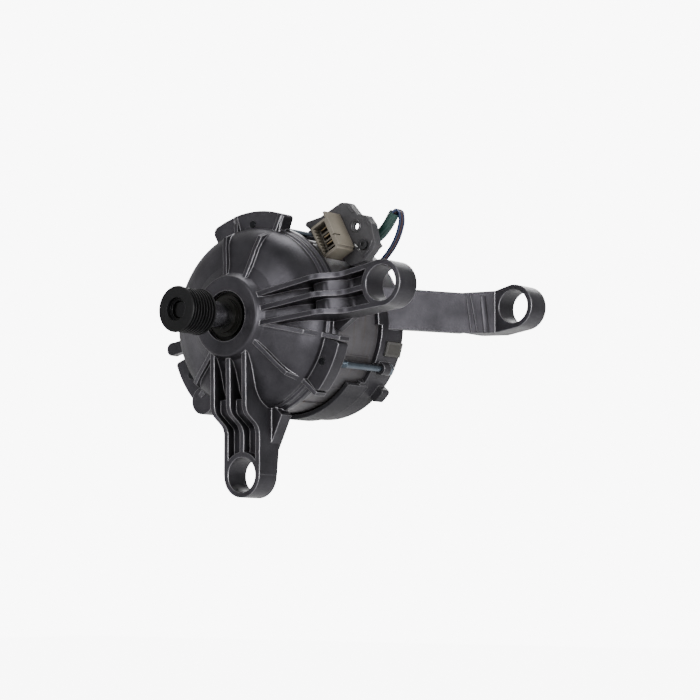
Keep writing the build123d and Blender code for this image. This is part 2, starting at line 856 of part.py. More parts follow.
# Slot liners between the coils and the stack
with BuildPart() as slot_liners:
    with BuildSketch(across(stator_rear)):
        for angle in brush_angles:
            sector(coil_outer_r, slot_outer_r, angle - slot_half_angle, angle + slot_half_angle)
    extrude(amount=stator_length)
save(slot_liners.part, "slot_liners")

# Armature: laminated core, windings in its slots, commutator
with BuildPart() as armature_core:
    with BuildSketch(across(armature_rear)):
        Circle(armature_r)
        Circle(core_seat_r, mode=Mode.SUBTRACT)
        with PolarLocations(armature_r, armature_slots):
            Rectangle(armature_slot_depth * 2, armature_slot_w, mode=Mode.SUBTRACT)
    extrude(amount=armature_length)
save(armature_core.part, "armature_core")

with BuildPart() as armature_windings:
    for stack_end, ring_end in (
        (armature_front, armature_front - winding_front),
        (armature_rear, armature_rear + winding_rear),
    ):
        with BuildSketch(beside()) as ring_section:
            profile((
                (winding_inner_r, ring_end),
                (winding_outer_r, ring_end),
                (winding_outer_r, stack_end),
                (winding_inner_r, stack_end),
            ))
            by_station = ring_section.vertices().sort_by(Axis.Y)
            outer_pair = by_station[:2] if ring_end < stack_end else by_station[2:]
            fillet(outer_pair, radius=winding_round)
        revolve(axis=shaft_axis)
    slot_wire_r = armature_r - slot_wire_inset - armature_slot_depth / 2 + slot_wire_w / 2
    with BuildSketch(across(armature_rear)):
        with PolarLocations(slot_wire_r, armature_slots):
            Rectangle(armature_slot_depth - slot_wire_inset * 2, slot_wire_w)
    extrude(amount=armature_length)
save(armature_windings.part, "armature_windings")

with BuildPart() as commutator_bars:
    with BuildSketch(beside()):
        profile((
            (commutator_inner_r, commutator_front - riser_t),
            (riser_r, commutator_front - riser_t),
            (riser_r, commutator_front),
            (commutator_r, commutator_front),
            (commutator_r, commutator_back),
            (commutator_inner_r, commutator_back),
        ))
    revolve(axis=shaft_axis)
    with BuildSketch(across(commutator_back)):
        with PolarLocations(commutator_r, armature_slots, start_angle=full_turn / armature_slots / 2):
            Rectangle(commutator_r, commutator_gap_w)
    extrude(amount=commutator_length + riser_t, mode=Mode.SUBTRACT)
save(commutator_bars.part, "commutator_bars")

commutator_hub = turned((
    (core_seat_r, commutator_front - riser_t),
    (commutator_inner_r, commutator_front - riser_t),
    (commutator_inner_r, commutator_back),
    (core_seat_r, commutator_back),
))
save(commutator_hub, "commutator_hub")

# Shaft with its seats for the pulley, the bearings and the core
shaft = turned((
    (0, shaft_tip),
    (pulley_bore_r - shaft_end_bevel, shaft_tip),
    (pulley_bore_r, shaft_tip + shaft_end_bevel),
    (pulley_bore_r, pulley_rear),
    (shaft_nose_r - shaft_end_bevel, pulley_rear),
    (shaft_nose_r, pulley_rear + shaft_end_bevel),
    (shaft_nose_r, front_bearing_back),
    (core_seat_r, front_bearing_back),
    (core_seat_r, commutator_back),
    (rear_bore_r + rear_ball_r, commutator_back),
    (rear_bore_r + rear_ball_r, rear_bearing_front),
    (rear_bore_r, rear_bearing_front),
    (rear_bore_r, shaft_end - shaft_end_bevel),
    (rear_bore_r - shaft_end_bevel, shaft_end),
    (0, shaft_end),
))
save(shaft, "shaft")

# Pulley with V grooves for a ribbed belt
crest_r = pulley_flange_r - crest_drop
groove_margin = (pulley_length - grooves * groove_pitch) / 2
groove_points = []
for count in range(grooves):
    middle = groove_margin + groove_pitch * (count + 0.5)
    top_half = (groove_pitch - groove_crest_w) / 2
    near_r = pulley_flange_r if count == 0 else crest_r
    far_r = pulley_flange_r if count == grooves - 1 else crest_r
    groove_points.append((near_r, middle - top_half))
    groove_points.append((crest_r - groove_depth, middle - groove_root_w / 2))
    groove_points.append((crest_r - groove_depth, middle + groove_root_w / 2))
    groove_points.append((far_r, middle + top_half))
pulley = turned([
    (pulley_bore_r, pulley_recess),
    (pulley_recess_r, pulley_recess),
    (pulley_recess_r, 0),
    (pulley_flange_r - pulley_bevel, 0),
] + groove_points + [
    (pulley_flange_r, pulley_length),
    (pulley_bore_r, pulley_length),
])
save(pulley, "pulley")

# Slinger that throws water off before the bearing
slinger = turned((
    (shaft_nose_r, slinger_front),
    (slinger_r, slinger_front),
    (slinger_r, slinger_front + slinger_length - slinger_lip_t),
    (slinger_lip_r, slinger_front + slinger_length - slinger_lip_t),
    (slinger_lip_r, slinger_front + slinger_length),
    (shaft_nose_r, slinger_front + slinger_length),
))
save(slinger, "slinger")

# Ball bearings: two rings, balls in a cage and two seals
for name, front, width, bore_r, outer_r, ball_r, balls in (
    (
        "front_bearing", front_bearing_front, front_width,
        front_bore_r, front_outer_r, front_ball_r, front_balls,
    ),
    (
        "rear_bearing", rear_bearing_front, rear_width,
        rear_bore_r, rear_outer_r, rear_ball_r, rear_balls,
    ),
):
    back = front + width
    middle = front + width / 2
    pitch_r = (bore_r + outer_r) / 2
    inner_land = pitch_r - ball_r * race_land_share
    outer_land = pitch_r + ball_r * race_land_share
    for ring, near, far in (("inner_ring", bore_r, inner_land), ("outer_ring", outer_land, outer_r)):
        with BuildPart() as race:
            with BuildSketch(beside()):
                profile(((near, front), (far, front), (far, back), (near, back)))
                with Locations((pitch_r, middle)):
                    Circle(ball_r + ball_play, mode=Mode.SUBTRACT)
            revolve(axis=shaft_axis)
        save(race.part, f"{name}_{ring}")
    with BuildPart() as ball_set:
        with Locations(across(middle)):
            with PolarLocations(pitch_r, balls):
                Sphere(ball_r)
    save(ball_set.part, f"{name}_balls")
    cage_back = back - seal_inset - seal_t - cage_play
    with BuildPart() as cage:
        with BuildSketch(across(cage_back)):
            Circle(pitch_r + ball_r * cage_share)
            Circle(pitch_r - ball_r * cage_share, mode=Mode.SUBTRACT)
        extrude(amount=cage_back - middle)
        with BuildSketch(across(middle + ball_r + cage_play)):
            with PolarLocations(pitch_r, balls):
                Circle(ball_r + cage_play)
        extrude(amount=ball_r + cage_play, mode=Mode.SUBTRACT)
    save(cage.part, f"{name}_cage")
    with BuildPart() as seals:
        with BuildSketch(beside()):
            for start in (front + seal_inset, back - seal_inset - seal_t):
                profile((
                    (inner_land + seal_play, start),
                    (outer_land, start),
                    (outer_land, start + seal_t),
                    (inner_land + seal_play, start + seal_t),
                ))
        revolve(axis=shaft_axis)
    save(seals.part, f"{name}_seals")

# Spring washer that loads the rear bearing
spring_washer = turned((
    (hub_lip_hole_r + wave_t, rear_bearing_back + wave_play),
    (rear_outer_r - wave_play, hub_seat_back - wave_t / 2),
    (rear_outer_r - wave_play, hub_seat_back),
    (hub_lip_hole_r + wave_t, rear_bearing_back + wave_play + wave_t / 2),
))
save(spring_washer, "spring_washer")

# Brush gear, one set on each side of the commutator
for side, angle in zip(("right", "left"), brush_angles):
    with BuildPart() as holder:
        with BuildSketch(outward(holder_inner_r, angle, brush_middle)):
            Rectangle(holder_w, holder_t)
            Rectangle(brush_w + 2 * brush_play, brush_t + 2 * brush_play, mode=Mode.SUBTRACT)
        extrude(amount=holder_outer_r - holder_inner_r)
    save(holder.part, f"brush_holder_{side}")
    with BuildPart() as cap:
        with BuildSketch(outward(cap_inner_r, angle, brush_middle)):
            Rectangle(brush_w + 2 * brush_play - 2 * fit, brush_t + 2 * brush_play - 2 * fit)
        extrude(amount=holder_cap)
    save(cap.part, f"brush_cap_{side}")
    with BuildPart() as brush:
        with BuildSketch(outward(brush_inner_r, angle, brush_middle)):
            Rectangle(brush_w, brush_t)
        extrude(amount=brush_length)
    save(brush.part, f"brush_{side}")
    coil_r = brush_t / 2 - spring_wire_r - spring_play
    coil_length = cap_inner_r - brush_outer_r - 2 * spring_wire_r
    coil_foot = outward(brush_outer_r + spring_wire_r, angle, brush_middle)
    with BuildPart() as spring:
        with BuildLine():
            wire = Helix(pitch=coil_length / spring_turns, height=coil_length, radius=coil_r)
        with BuildSketch(Plane(origin=wire @ 0, z_dir=wire % 0)):
            Circle(spring_wire_r)
        sweep(path=wire)
    save(coil_foot.location * spring.part, f"brush_spring_{side}")
print("brush spring gap", round(coil_length / spring_turns - 2 * spring_wire_r, 2))

# Speed sensor: a ring magnet on the shaft inside a coil, under a cap
magnet = turned((
    (rear_bore_r, magnet_front),
    (magnet_r, magnet_front),
    (magnet_r, magnet_front + magnet_length),
    (rear_bore_r, magnet_front + magnet_length),
))
save(magnet, "sensor_magnet")

cap_front = hub_back - cap_overlap
cap_back = cap_front + cap_overlap + cap_length
sensor_coil = turned((
    (sensor_coil_inner_r, hub_back),
    (sensor_coil_r, hub_back),
    (sensor_coil_r, cap_back - cap_wall),
    (sensor_coil_inner_r, cap_back - cap_wall),
))
save(sensor_coil, "sensor_coil")

with BuildPart() as sensor_cap:
    with BuildSketch(beside()):
        profile((
            (0, cap_back),
            (hub_r + cap_wall - cap_round, cap_back),
            (hub_r + cap_wall, cap_back - cap_round),
            (hub_r + cap_wall, cap_front),
            (hub_r + fit, cap_front),
            (hub_r + fit, hub_back),
            (sensor_coil_r + fit, hub_back),
            (sensor_coil_r + fit, cap_back - cap_wall),
            (0, cap_back - cap_wall),
        ))
    revolve(axis=shaft_axis)
save(sensor_cap.part, "sensor_cap")

# Through bolts
with BuildPart() as through_bolts:
    with BuildSketch(across(lug_back + bolt_head_t)):
        for angle in bolt_angles:
            with Locations(polar(bolt_circle_r, angle)):
                RegularPolygon(bolt_head_af / 2, 6, major_radius=False)
    extrude(amount=bolt_head_t)
    with BuildSketch(across(lug_back)):
        for angle in bolt_angles:
            with Locations(polar(bolt_circle_r, angle)):
                Circle(bolt_r)
    extrude(amount=lug_back - tab_front + bolt_tip_proud)
save(through_bolts.part, "through_bolts")

# Terminal bracket and its screw
with BuildPart() as terminal_bracket:
    with BuildSketch(across(bracket_front + bracket_depth)) as bracket_face:
        profile(bracket_outline)
        fillet(bracket_face.vertices(), radius=bracket_rim)
    extrude(amount=bracket_depth)
    with BuildSketch(across(bracket_front + bracket_depth)):
        profile(bracket_outline)
        offset(amount=-bracket_rim, mode=Mode.REPLACE)
    extrude(amount=bracket_depth - bracket_t, mode=Mode.SUBTRACT)
    with BuildSketch(across(bracket_front + bracket_depth)):
        with Locations(bracket_hole):
            Circle(bracket_hole_r)
        with Locations(bracket_screw):
            Circle(screw_r + fit)
        with Locations(bracket_slots):
            Rectangle(bracket_slot_l, bracket_slot_w, rotation=bracket_slot_turn)
        with Locations((plug_x, plug_z)):
            Rectangle(plug_l + 2 * plug_play, plug_w + 2 * plug_play, rotation=plug_turn)
    extrude(amount=bracket_depth, mode=Mode.SUBTRACT)
save(terminal_bracket.part, "terminal_bracket")

with BuildPart() as tray_screw:
    with BuildSketch(across(bracket_front)):
        with Locations(bracket_screw):
            Circle(screw_head_r)
    extrude(amount=screw_head_t)
    with BuildSketch(across(bracket_back + screw_length - bracket_t)):
        with Locations(bracket_screw):
            Circle(screw_r)
    extrude(amount=screw_length)
    with BuildSketch(across(bracket_front - screw_head_t + screw_drive_depth)):
        with Locations(bracket_screw):
            Rectangle(screw_drive_w, screw_drive_w)
    extrude(amount=screw_drive_depth, mode=Mode.SUBTRACT)
save(tray_screw.part, "bracket_screw")

# Connector housing with a latch wall, and its contacts
with BuildPart() as connector_housing:
    with BuildSketch(across(plug_back)) as plug_face:
        with Locations((plug_x, plug_z)):
            Rectangle(plug_l, plug_w, rotation=plug_turn)
        fillet(plug_face.vertices(), radius=plug_round)
    extrude(amount=plug_mouth + plug_tail)
    with BuildSketch(across(plug_back)):
        with Locations(Location((plug_x, plug_z), plug_turn)):
            with GridLocations(way_pitch, way_pitch, plug_ways, 1):
                Rectangle(way_throat_l, way_throat_w)
    extrude(amount=plug_mouth + plug_tail, mode=Mode.SUBTRACT)
    with BuildSketch(across(plug_front + mouth_depth)):
        with Locations((plug_x, plug_z)):
            Rectangle(plug_l - 2 * way_wall, plug_w - 2 * way_wall, rotation=plug_turn)
    extrude(amount=mouth_depth, mode=Mode.SUBTRACT)
    with BuildSketch(across(plug_front + contact_inset + plug_mouth / 2)):
        with Locations(Location((plug_x, plug_z), plug_turn)):
            with GridLocations(way_pitch, way_pitch, plug_ways, 1):
                Rectangle(way_l, way_w)
    extrude(amount=plug_mouth, mode=Mode.SUBTRACT)
    with BuildSketch(across(bracket_front)):
        with Locations(Location((plug_x, plug_z), plug_turn)):
            with Locations((-(side_wall_over + side_wall_short) / 2, plug_w / 2 + side_wall_t / 2)):
                Rectangle(plug_l + side_wall_over - side_wall_short, side_wall_t)
    extrude(amount=plug_mouth)
    with BuildSketch(across(plug_front + side_slit_depth)):
        with Locations(Location((plug_x, plug_z), plug_turn)):
            with Locations((side_wall_over / 2, plug_w / 2 + side_wall_t)):
                Rectangle(side_slit, 2 * side_wall_t)
    extrude(amount=side_slit_depth, mode=Mode.SUBTRACT)
save(connector_housing.part, "connector_housing")

with BuildPart() as connector_contacts:
    with BuildSketch(across(plug_back + contact_proud)):
        with Locations(Location((plug_x, plug_z), plug_turn)):
            with GridLocations(way_pitch, way_pitch, plug_ways, 1):
                Rectangle(contact_t, contact_w)
    extrude(amount=plug_back + contact_proud - plug_front - contact_inset)
save(connector_contacts.part, "connector_contacts")


# Loom
def routed(points):
    """Tube centre line: straight runs joined by arcs as wide as the runs allow."""
    radii = []
    for before, here, after in zip(points, points[1:], points[2:]):
        inward = Vector(here) - Vector(before)
        onward = Vector(after) - Vector(here)
        half_turn = radians(inward.get_angle(onward) / 2)
        radii.append(route_round_share * min(inward.length, onward.length) * cos(half_turn) / sin(half_turn))
    return radii


def in_frame(point):
    """Point given from the shaft's axis and the pulley's face, moved to the shared frame."""
    return (point[0] - pivot_offset_x, point[1] - origin_station, point[2] - pivot_offset_z)


gathered = [in_frame(point) for point in sleeve_line_points]
sleeve_radii = routed(gathered)
sleeve_start = Vector(gathered[0]) + (Vector(gathered[1]) - Vector(gathered[0])) * sleeve_start_share
sleeve_route = [tuple(sleeve_start)] + gathered[1:]
with BuildPart() as green_sleeve:
    with BuildLine():
        sleeve_line = FilletPolyline(*sleeve_route, radius=sleeve_radii)
    with BuildSketch(Plane(origin=sleeve_line @ 0, z_dir=sleeve_line % 0)):
        Circle(sleeve_r)
        Circle(sleeve_bore_r, mode=Mode.SUBTRACT)
    sweep(path=sleeve_line)
save(green_sleeve.part, "green_sleeve")
print("sleeve bend radii", [round(radius, 1) for radius in sleeve_radii])

for way, name in enumerate(("lead_blue", "lead_red", "lead_navy")):
    layer = lead_pitch * (way - 1)
    along = way_pitch * (way - (plug_ways - 1) / 2)
    foot_x = plug_x + along * cos(radians(plug_turn))
    foot_z = plug_z + along * sin(radians(plug_turn))
    start = plug_back + contact_proud
    turn_back = sleeve_line_points[0][1] + layer
    points = [(foot_x, start, foot_z), (foot_x, turn_back, foot_z)]
    points += [(point[0], point[1] + layer, point[2]) for point in sleeve_line_points + loop_line_points]
    lead_route = [in_frame(point) for point in points]
    lead_radii = routed(lead_route)
    with BuildPart() as lead:
        with BuildLine():
            lead_line = FilletPolyline(*lead_route, radius=lead_radii)
        with BuildSketch(Plane(origin=lead_line @ 0, z_dir=lead_line % 0)):
            Circle(lead_r)
        sweep(path=lead_line)
    save(lead.part, name)
    print(name, "bend radii", [round(radius, 1) for radius in lead_radii])
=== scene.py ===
import bpy
import bmesh
import math
from mathutils import Matrix, Vector


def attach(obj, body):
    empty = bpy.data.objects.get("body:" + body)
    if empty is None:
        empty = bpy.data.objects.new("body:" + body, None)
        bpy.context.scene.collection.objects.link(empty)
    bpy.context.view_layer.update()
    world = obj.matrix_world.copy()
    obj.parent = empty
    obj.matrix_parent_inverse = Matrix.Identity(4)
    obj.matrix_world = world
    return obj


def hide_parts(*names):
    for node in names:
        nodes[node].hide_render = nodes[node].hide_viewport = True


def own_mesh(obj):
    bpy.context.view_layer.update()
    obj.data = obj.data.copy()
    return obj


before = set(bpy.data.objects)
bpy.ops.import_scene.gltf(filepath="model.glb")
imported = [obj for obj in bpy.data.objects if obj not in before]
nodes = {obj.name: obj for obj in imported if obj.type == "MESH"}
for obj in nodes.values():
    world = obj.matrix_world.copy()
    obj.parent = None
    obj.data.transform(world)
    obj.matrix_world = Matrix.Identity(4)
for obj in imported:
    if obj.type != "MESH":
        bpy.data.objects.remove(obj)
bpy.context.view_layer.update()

# Camera: stands to the right of the pulley and a little below the shaft, as the photographer did,
# with a long lens, so that the eyes of both shields keep nearly the same size
lens_mm = 112.96
film_mm = 36.0
camera_place = (0.7023, -0.9690, -0.1591)
camera_tilt = 95.849
camera_heading = 36.961
camera_data = bpy.data.cameras.new("camera")
camera_data.lens = lens_mm
camera_data.sensor_width = film_mm
camera = bpy.data.objects.new("camera", camera_data)
camera.location = camera_place
camera.rotation_euler = (math.radians(camera_tilt), 0.0, math.radians(camera_heading))
bpy.context.scene.collection.objects.link(camera)
bpy.context.scene.camera = camera

# Studio: white surroundings and a pale floor well below the motor, which hangs free as in the
# photo; the soft main lamp is on the right, where the photo's brightest faces look
pure_white = (1.0, 1.0, 1.0, 1.0)
room_strength = 0.62
backdrop_strength = 9.0
world = bpy.data.worlds.new("studio")
bpy.context.scene.world = world
world.use_nodes = True
sky = world.node_tree
room_light = sky.nodes["Background"]
room_light.inputs["Color"].default_value = pure_white
room_light.inputs["Strength"].default_value = room_strength
white_backdrop = sky.nodes.new("ShaderNodeBackground")
white_backdrop.inputs["Color"].default_value = pure_white
white_backdrop.inputs["Strength"].default_value = backdrop_strength
seen_by_lens = sky.nodes.new("ShaderNodeLightPath")
backdrop_or_room = sky.nodes.new("ShaderNodeMixShader")
sky.links.new(seen_by_lens.outputs["Is Camera Ray"], backdrop_or_room.inputs["Fac"])
sky.links.new(room_light.outputs["Background"], backdrop_or_room.inputs[1])
sky.links.new(white_backdrop.outputs["Background"], backdrop_or_room.inputs[2])
sky.links.new(backdrop_or_room.outputs["Shader"], sky.nodes["World Output"].inputs["Surface"])

floor_half = 6.0
floor_height = -0.42
floor_tone = (0.72, 0.72, 0.72, 1.0)
floor_roughness = 0.9
floor_glow = 8.5
sheet = bmesh.new()
bmesh.ops.create_grid(sheet, x_segments=1, y_segments=1, size=floor_half)
bmesh.ops.translate(sheet, vec=(0.0, 0.0, floor_height), verts=sheet.verts)
floor_mesh = bpy.data.meshes.new("floor")
sheet.to_mesh(floor_mesh)
sheet.free()
floor = bpy.data.objects.new("floor", floor_mesh)
bpy.context.scene.collection.objects.link(floor)
floor_paint = bpy.data.materials.new("floor_paint")
floor_paint.use_nodes = True
paper = floor_paint.node_tree
paper_shader = paper.nodes["Principled BSDF"]
paper_shader.inputs["Base Color"].default_value = floor_tone
paper_shader.inputs["Roughness"].default_value = floor_roughness
paper_glow = paper.nodes.new("ShaderNodeEmission")
paper_glow.inputs["Strength"].default_value = floor_glow
paper_seen = paper.nodes.new("ShaderNodeLightPath")
paper_mix = paper.nodes.new("ShaderNodeMixShader")
paper.links.new(paper_seen.outputs["Is Camera Ray"], paper_mix.inputs["Fac"])
paper.links.new(paper_shader.outputs["BSDF"], paper_mix.inputs[1])
paper.links.new(paper_glow.outputs["Emission"], paper_mix.inputs[2])
paper.links.new(paper_mix.outputs["Shader"], paper.nodes["Material Output"].inputs["Surface"])
floor_mesh.materials.append(floor_paint)

lit_middle = Vector((-0.09, 0.02, 0.0))
for name, place, energy, width in (
    ("right_softbox", (1.9, -0.6, 0.15), 58.0, 0.8),
    ("front_softbox", (-0.2, -2.0, 0.5), 24.0, 0.9),
    ("low_softbox", (1.0, -1.3, -0.38), 16.0, 0.7),
    ("rear_softbox", (-0.9, 1.9, 0.6), 30.0, 1.2),
    ("top_softbox", (-0.3, 0.5, 2.0), 34.0, 1.2),
    ("left_softbox", (-2.0, -0.6, 0.0), 6.0, 1.0),
):
    lamp_data = bpy.data.lights.new(name, "AREA")
    lamp_data.energy = energy
    lamp_data.size = width
    lamp = bpy.data.objects.new(name, lamp_data)
    lamp.location = place
    lamp.rotation_euler = (lit_middle - Vector(place)).to_track_quat("-Z", "Y").to_euler()
    bpy.context.scene.collection.objects.link(lamp)

# Front shield: the pulley side of the frame, one die casting in grey aluminium alloy, with the
# bearing boss, two ribbed arms and the tabs. The skin is sandy from the die. Its corners and ribs
# are painted lighter, partly wear and partly painted highlight, and its pockets get painted shade
grain_detail = 4.0
grain_breakup = 0.62
stain_detail = 3.0
stain_to_grain = 0.055
grain = bpy.data.node_groups.new("grain", "ShaderNodeTree")
grain.interface.new_socket("Grains per metre", in_out="INPUT", socket_type="NodeSocketFloat")
grain.interface.new_socket("Fine", in_out="OUTPUT", socket_type="NodeSocketFloat")
grain.interface.new_socket("Broad", in_out="OUTPUT", socket_type="NodeSocketFloat")
grain_in = grain.nodes.new("NodeGroupInput")
grain_out = grain.nodes.new("NodeGroupOutput")
grain_place = grain.nodes.new("ShaderNodeTexCoord")
fine_grain = grain.nodes.new("ShaderNodeTexNoise")
fine_grain.inputs["Detail"].default_value = grain_detail
fine_grain.inputs["Roughness"].default_value = grain_breakup
broad_stain = grain.nodes.new("ShaderNodeTexNoise")
broad_stain.inputs["Detail"].default_value = stain_detail
stain_pace = grain.nodes.new("ShaderNodeMath")
stain_pace.operation = "MULTIPLY"
stain_pace.inputs[1].default_value = stain_to_grain
grain.links.new(grain_place.outputs["Object"], fine_grain.inputs["Vector"])
grain.links.new(grain_place.outputs["Object"], broad_stain.inputs["Vector"])
grain.links.new(grain_in.outputs["Grains per metre"], fine_grain.inputs["Scale"])
grain.links.new(grain_in.outputs["Grains per metre"], stain_pace.inputs[0])
grain.links.new(stain_pace.outputs[0], broad_stain.inputs["Scale"])
grain.links.new(fine_grain.outputs["Fac"], grain_out.inputs["Fine"])
grain.links.new(broad_stain.outputs["Fac"], grain_out.inputs["Broad"])

# Corners, where the bevel normal turns from the true normal, are painted lighter: partly wear,
# partly painted highlight
wear_and_highlight_starts, wear_and_highlight_full = 0.995, 0.80
# Painted shade: hollows that ambient occlusion finds within hollow_reach are painted darker
hollow_starts, hollow_full = 0.85, 0.25
hollow_reach = 0.012
edge_samples = 6
corners = bpy.data.node_groups.new("corners", "ShaderNodeTree")
corners.interface.new_socket("Corner radius", in_out="INPUT", socket_type="NodeSocketFloat")
corners.interface.new_socket("Soft normal", in_out="OUTPUT", socket_type="NodeSocketVector")
corners.interface.new_socket("Wear and highlight", in_out="OUTPUT", socket_type="NodeSocketFloat")
corners.interface.new_socket("Hollow", in_out="OUTPUT", socket_type="NodeSocketFloat")
corners_in = corners.nodes.new("NodeGroupInput")
corners_out = corners.nodes.new("NodeGroupOutput")
soft_corner = corners.nodes.new("ShaderNodeBevel")
soft_corner.samples = edge_samples
true_face = corners.nodes.new("ShaderNodeNewGeometry")
corner_turn = corners.nodes.new("ShaderNodeVectorMath")
corner_turn.operation = "DOT_PRODUCT"
wear_and_highlight_mask = corners.nodes.new("ShaderNodeMapRange")
wear_and_highlight_mask.inputs["From Min"].default_value = wear_and_highlight_starts
wear_and_highlight_mask.inputs["From Max"].default_value = wear_and_highlight_full
open_sky = corners.nodes.new("ShaderNodeAmbientOcclusion")
open_sky.samples = edge_samples
open_sky.inputs["Distance"].default_value = hollow_reach
hollow = corners.nodes.new("ShaderNodeMapRange")
hollow.inputs["From Min"].default_value = hollow_starts
hollow.inputs["From Max"].default_value = hollow_full
corners.links.new(corners_in.outputs["Corner radius"], soft_corner.inputs["Radius"])
corners.links.new(soft_corner.outputs["Normal"], corner_turn.inputs[0])
corners.links.new(true_face.outputs["Normal"], corner_turn.inputs[1])
corners.links.new(corner_turn.outputs["Value"], wear_and_highlight_mask.inputs["Value"])
corners.links.new(open_sky.outputs["AO"], hollow.inputs["Value"])
corners.links.new(soft_corner.outputs["Normal"], corners_out.inputs["Soft normal"])
corners.links.new(wear_and_highlight_mask.outputs["Result"], corners_out.inputs["Wear and highlight"])
corners.links.new(hollow.outputs["Result"], corners_out.inputs["Hollow"])

# Painted shade: the tint that hollows are darkened towards
hollow_shade_tint = (0.25, 0.24, 0.22)
stain_starts, stain_full = 0.3, 0.7
gloss_below, gloss_above = 0.07, 0.09
line_weight = 0.8


def finish(
    name, dark, light, wear_and_highlight_tone, metallic, roughness, grain_size, grain_depth,
    corner=0.0003, wear_and_highlight=0.5, hollow_shade=0.6, gleam=0.5, lines=None,
):
    """A finish in two tones: lighter at corners (wear and painted highlight), darker in hollows
    (painted shade).

    grain_size, grain_depth, corner and lines are in metres; lines is the pitch of fine turned or
    stacked lines across the shaft. Returns the material, and a dict with its node tree, its
    shader and the node that gives its tone.
    """
    made = bpy.data.materials.new(name)
    made.use_nodes = True
    tree = made.node_tree
    part = {"tree": tree, "shader": tree.nodes["Principled BSDF"]}
    shader = part["shader"]
    shader.inputs["Metallic"].default_value = metallic
    shader.inputs["Specular IOR Level"].default_value = gleam
    skin = tree.nodes.new("ShaderNodeGroup")
    skin.node_tree = grain
    skin.inputs["Grains per metre"].default_value = 1.0 / grain_size
    edge = tree.nodes.new("ShaderNodeGroup")
    edge.node_tree = corners
    edge.inputs["Corner radius"].default_value = corner
    two_tone = tree.nodes.new("ShaderNodeMix")
    two_tone.data_type = "RGBA"
    two_tone.inputs["A"].default_value = (*dark, 1.0)
    two_tone.inputs["B"].default_value = (*light, 1.0)
    spread = tree.nodes.new("ShaderNodeMapRange")
    spread.inputs["From Min"].default_value = stain_starts
    spread.inputs["From Max"].default_value = stain_full
    tree.links.new(skin.outputs["Broad"], spread.inputs["Value"])
    tree.links.new(spread.outputs["Result"], two_tone.inputs["Factor"])
    # Corners painted lighter, partly wear and partly painted highlight
    wear_and_highlight_mix = tree.nodes.new("ShaderNodeMix")
    wear_and_highlight_mix.data_type = "RGBA"
    wear_and_highlight_mix.inputs["B"].default_value = (*wear_and_highlight_tone, 1.0)
    wear_and_highlight_share = tree.nodes.new("ShaderNodeMath")
    wear_and_highlight_share.operation = "MULTIPLY"
    wear_and_highlight_share.inputs[1].default_value = wear_and_highlight
    tree.links.new(edge.outputs["Wear and highlight"], wear_and_highlight_share.inputs[0])
    tree.links.new(wear_and_highlight_share.outputs[0], wear_and_highlight_mix.inputs["Factor"])
    tree.links.new(two_tone.outputs["Result"], wear_and_highlight_mix.inputs["A"])
    # Painted shade in hollows, from ambient occlusion
    hollow_shade_mix = tree.nodes.new("ShaderNodeMix")
    hollow_shade_mix.data_type = "RGBA"
    hollow_shade_mix.inputs["B"].default_value = (*(tone * tint for tone, tint in zip(dark, hollow_shade_tint)), 1.0)
    hollow_shade_share = tree.nodes.new("ShaderNodeMath")
    hollow_shade_share.operation = "MULTIPLY"
    hollow_shade_share.inputs[1].default_value = hollow_shade
    tree.links.new(edge.outputs["Hollow"], hollow_shade_share.inputs[0])
    tree.links.new(hollow_shade_share.outputs[0], hollow_shade_mix.inputs["Factor"])
    tree.links.new(wear_and_highlight_mix.outputs["Result"], hollow_shade_mix.inputs["A"])
    tree.links.new(hollow_shade_mix.outputs["Result"], shader.inputs["Base Color"])
    gloss = tree.nodes.new("ShaderNodeMapRange")
    gloss.inputs["To Min"].default_value = roughness - gloss_below
    gloss.inputs["To Max"].default_value = roughness + gloss_above
    tree.links.new(skin.outputs["Fine"], gloss.inputs["Value"])
    tree.links.new(gloss.outputs["Result"], shader.inputs["Roughness"])
    relief = tree.nodes.new("ShaderNodeBump")
    relief.inputs["Strength"].default_value = 1.0
    relief.inputs["Distance"].default_value = grain_depth
    height = skin.outputs["Fine"]
    if lines:
        place = tree.nodes.new("ShaderNodeTexCoord")
        split = tree.nodes.new("ShaderNodeSeparateXYZ")
        pace = tree.nodes.new("ShaderNodeMath")
        pace.operation = "MULTIPLY"
        pace.inputs[1].default_value = 2 * math.pi / lines
        wave = tree.nodes.new("ShaderNodeMath")
        wave.operation = "SINE"
        lined = tree.nodes.new("ShaderNodeMath")
        lined.operation = "MULTIPLY_ADD"
        lined.inputs[1].default_value = line_weight
        tree.links.new(place.outputs["Object"], split.inputs["Vector"])
        tree.links.new(split.outputs["Y"], pace.inputs[0])
        tree.links.new(pace.outputs[0], wave.inputs[0])
        tree.links.new(wave.outputs[0], lined.inputs[0])
        tree.links.new(height, lined.inputs[2])
        height = lined.outputs[0]
    tree.links.new(height, relief.inputs["Height"])
    tree.links.new(edge.outputs["Soft normal"], relief.inputs["Normal"])
    tree.links.new(relief.outputs["Normal"], shader.inputs["Normal"])
    part["tone"] = hollow_shade_mix
    return made, part


def put_on(material, *names):
    """Gives these nodes of the part their material."""
    for name in names:
        nodes[name].data.materials.clear()
        nodes[name].data.materials.append(material)


def fit_piece(mesh, name, material, body="housing", smooth=True):
    """Makes a piece of a bmesh on its body, in this finish."""
    bmesh.ops.recalc_face_normals(mesh, faces=mesh.faces)
    data = bpy.data.meshes.new(name)
    mesh.to_mesh(data)
    mesh.free()
    for face in data.polygons:
        face.use_smooth = smooth
    data.materials.append(material)
    piece = bpy.data.objects.new(name, data)
    bpy.context.scene.collection.objects.link(piece)
    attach(piece, body)
    return piece


ring_steps = 96


def turn_ring(mesh, outline, centre):
    """Spins a closed outline of (radius, y) pairs about an axis along Y through centre."""
    points = [mesh.verts.new((centre[0] + radius, y, centre[1])) for radius, y in outline]
    sides = [mesh.edges.new((a, b)) for a, b in zip(points, points[1:] + points[:1])]
    bmesh.ops.spin(
        mesh, geom=points + sides, cent=(centre[0], 0.0, centre[1]), axis=(0.0, 1.0, 0.0),
        angle=2 * math.pi, steps=ring_steps, use_merge=True,
    )


bead_round = 0.35


